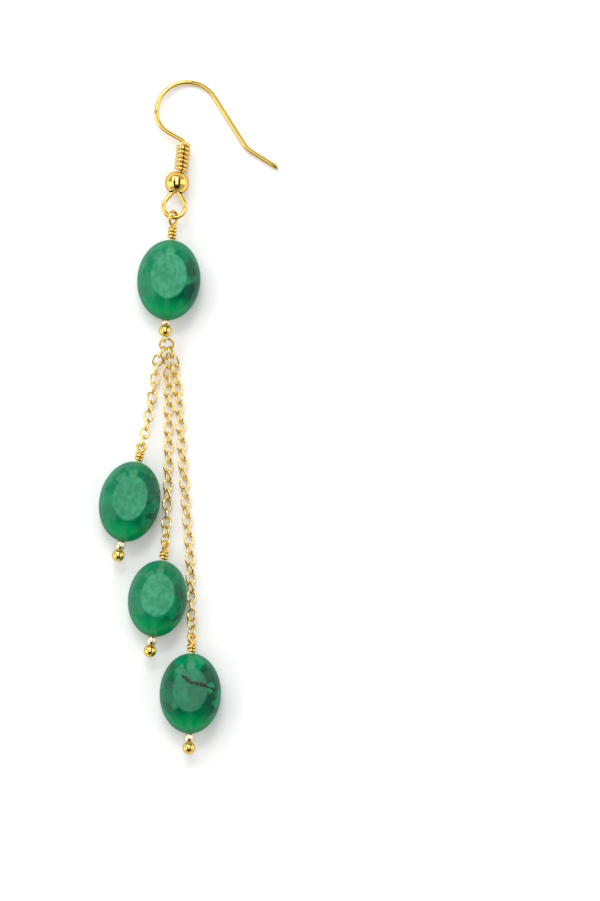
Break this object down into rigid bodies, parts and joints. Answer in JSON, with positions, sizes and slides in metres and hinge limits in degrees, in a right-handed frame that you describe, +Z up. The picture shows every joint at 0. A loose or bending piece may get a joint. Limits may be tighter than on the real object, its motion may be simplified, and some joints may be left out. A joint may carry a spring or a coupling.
{
  "type": "drop earring",
  "caption": "Gold drop earring: a hook ear wire with a coil and a ball, a faceted oval green stone, and cable chains that each end in a faceted green stone.",
  "frame": {"origin": "under the middle of the bounding box, on the surface that the earring lies on", "axes": "+Y along the earring towards the ear wire, +X across it to the right as it is seen from above, +Z up from the surface through its thickness"},
  "size_m": [0.0256, 0.0962, 0.0056],
  "materials": {
    "gold": "polished",
    "pale_gold": "polished",
    "green_stone": "polished, faceted, milky translucent"
  },
  "bodies": {
    "root": {"top_stone": "green_stone", "top_spacer_tube": "pale_gold", "top_eye_pin": "gold", "ear_wire": "gold", "ear_wire_coil": "gold", "ear_wire_ball": "gold", "jump_ring": "gold", "chain_short": "gold", "chain_middle": "gold", "chain_long": "gold", "short_stone": "green_stone", "short_spacer_tube": "pale_gold", "short_head_pin": "gold", "middle_stone": "green_stone", "middle_spacer_tube": "pale_gold", "middle_head_pin": "gold", "long_stone": "green_stone", "long_spacer_tube": "pale_gold", "long_head_pin": "gold"}
  },
  "joints": []
}
